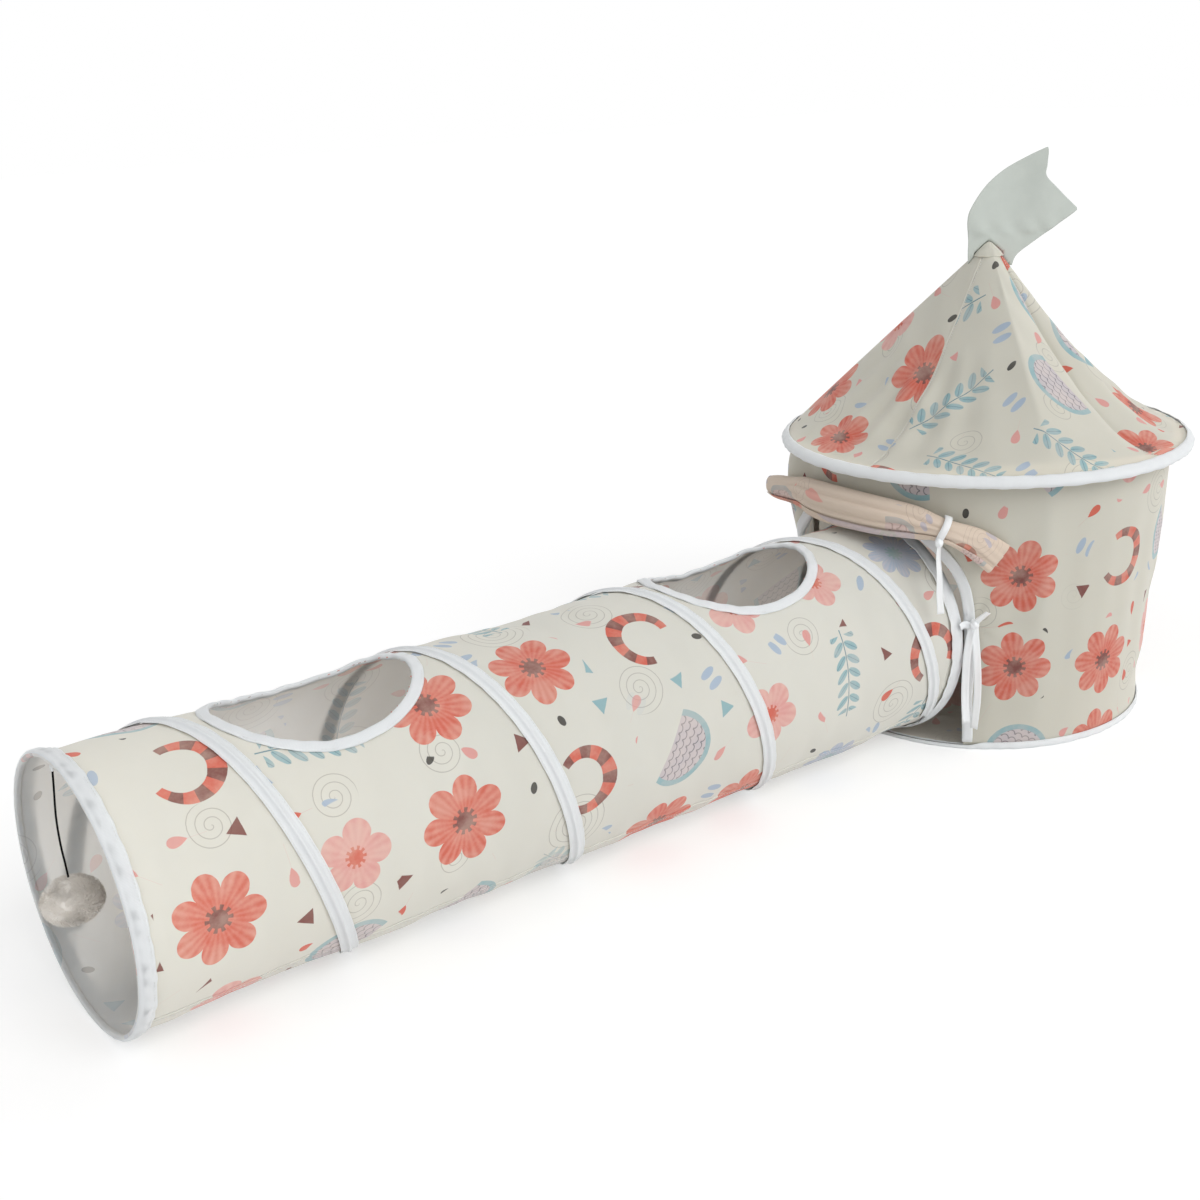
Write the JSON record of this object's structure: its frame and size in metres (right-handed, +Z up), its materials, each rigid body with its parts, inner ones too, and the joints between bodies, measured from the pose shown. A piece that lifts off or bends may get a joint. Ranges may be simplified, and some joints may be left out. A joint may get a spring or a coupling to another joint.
{
  "type": "cat tunnel",
  "caption": "Folding cloth cat tunnel on a spring wire with openings in its top, joined to a round pop-up tent with a pointed roof, a flag and a hanging ball toy",
  "frame": {"origin": "on the ground in the middle of the tent's floor", "axes": "+Z up, the tunnel runs along -X from the tent's doorway, +Y to the left of someone who looks out of the doorway's opposite side along +X"},
  "size_m": [1.3985, 0.477, 0.6545],
  "materials": {
    "print": "printed plain-woven polyester cloth",
    "inside": "back of the printed cloth, tan",
    "tape": "white woven binding tape",
    "steel": "spring steel wire",
    "glass_fibre": "drawn fibre rod",
    "plastic": "moulded plastic",
    "veil": "thin stiff non-woven cloth",
    "elastic": "black elastic cord",
    "fluff": "loose white fluff"
  },
  "bodies": {
    "tent_base": {"tent_floor": "inside", "base_ring_wire": "steel", "base_ring_ferrule": "steel", "base_binding": "tape", "tent_wall": "print", "door_binding": "tape", "wall_rod_1": "glass_fibre", "wall_rod_2": "glass_fibre", "wall_rod_3": "glass_fibre", "rod_sleeve_1": "inside", "rod_sleeve_2": "inside", "rod_sleeve_3": "inside", "door_flap_roll": "print", "flap_tie": "tape", "tunnel_tie_left": "tape", "tunnel_tie_right": "tape"},
    "roof": {"roof_ring_wire": "steel", "roof_ring_ferrule": "steel", "roof_binding": "tape", "roof_gore_1": "print", "roof_gore_2": "print", "roof_gore_3": "print", "roof_gore_4": "print", "roof_rod_1": "glass_fibre", "roof_rod_2": "glass_fibre", "roof_rod_3": "glass_fibre"},
    "apex": {"apex_hub": "plastic", "apex_cap": "print", "flag": "veil"},
    "tunnel": {"tunnel_skin": "print", "tunnel_spring": "steel", "spring_tape": "tape", "tent_end_binding": "tape", "hole_binding_1": "tape", "hole_binding_2": "tape"},
    "tunnel_mouth": {"mouth_binding": "tape"},
    "toy_hook": {"toy_loop": "tape"},
    "toy": {"toy_cord": "elastic", "toy_ball": "fluff"}
  },
  "joints": [
    {"name": "tent_fold", "type": "slide", "parent": "tent_base", "child": "roof", "axis": [0, 0, -1], "range_m": [0, 0.29], "stiffness_N_per_m": 60, "springref_m": -0.12, "deforming": ["tent_wall", "door_binding", "wall_rod_1", "wall_rod_2", "wall_rod_3", "rod_sleeve_1", "rod_sleeve_2", "rod_sleeve_3", "door_flap_roll", "flap_tie", "tunnel_tie_left", "tunnel_tie_right"]},
    {"name": "cone_fold", "type": "slide", "parent": "roof", "child": "apex", "axis": [0, 0, -1], "range_m": [0, 0.195], "stiffness_N_per_m": 12, "springref_m": -0.08, "deforming": ["roof_gore_1", "roof_gore_2", "roof_gore_3", "roof_gore_4", "roof_rod_1", "roof_rod_2", "roof_rod_3"]},
    {"name": "tunnel_draw_out", "type": "slide", "parent": "tent_base", "child": "tunnel", "axis": [-1, 0, 0], "range_m": [0, 0.3625]},
    {"name": "tunnel_fold", "type": "slide", "parent": "tunnel", "child": "tunnel_mouth", "axis": [1, 0, 0], "range_m": [0, 0.9], "stiffness_N_per_m": 6, "springref_m": -0.2, "deforming": ["tunnel_skin", "tunnel_spring", "spring_tape", "hole_binding_1", "hole_binding_2"]},
    {"name": "toy_swing_across", "type": "hinge", "parent": "tunnel_mouth", "child": "toy_hook", "pos_m": [-1.129, 0, 0.2462], "axis": [1, 0, 0], "range_deg": [-35, 35]},
    {"name": "toy_swing_along", "type": "hinge", "parent": "toy_hook", "child": "toy", "pos_m": [-1.129, 0, 0.2462], "axis": [0, 1, 0], "range_deg": [-60, 60]}
  ],
  "couplings": [
    {"joint": "tunnel_draw_out", "follows": "tent_fold", "ratio": 1.25}
  ]
}
